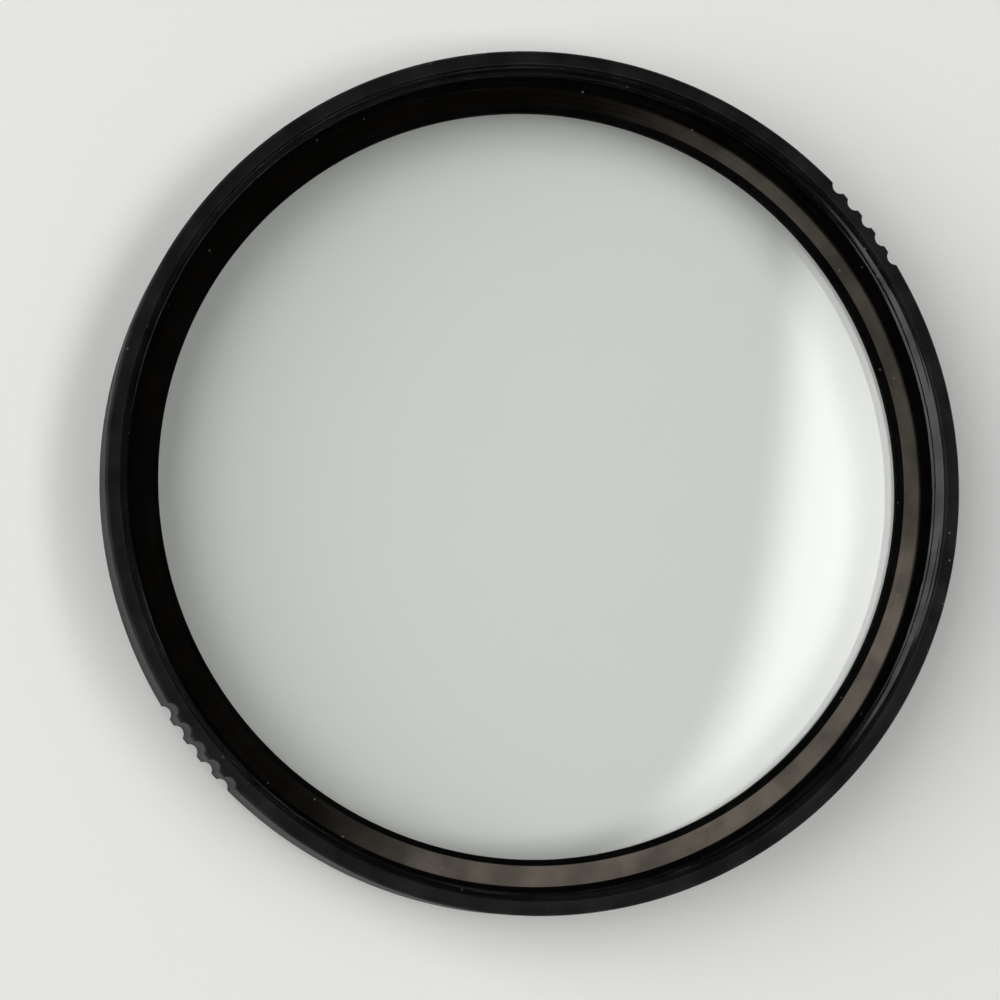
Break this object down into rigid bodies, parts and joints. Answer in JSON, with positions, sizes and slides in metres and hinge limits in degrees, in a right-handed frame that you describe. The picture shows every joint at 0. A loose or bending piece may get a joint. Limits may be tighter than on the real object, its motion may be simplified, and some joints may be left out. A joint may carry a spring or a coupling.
{
  "type": "screw-in lens filter",
  "caption": "Round black screw-in filter for a camera lens: a threaded ring with grip notches holds a clear flat glass disc under a retaining ring.",
  "frame": {"origin": "middle of the end of the male thread, which is what the filter lies on", "axes": "+Z along the optical axis towards the front of the filter; +X through the middle of a group of grip notches"},
  "size_m": [0.054, 0.054, 0.0071],
  "materials": {
    "anodised_ring": "black anodised, satin",
    "anodised_retainer": "black anodised, satin, a little brownish",
    "clear_glass": "polished, clear"
  },
  "bodies": {
    "root": {"filter_ring": "anodised_ring", "retaining_ring": "anodised_retainer", "glass_disc": "clear_glass"}
  },
  "joints": []
}
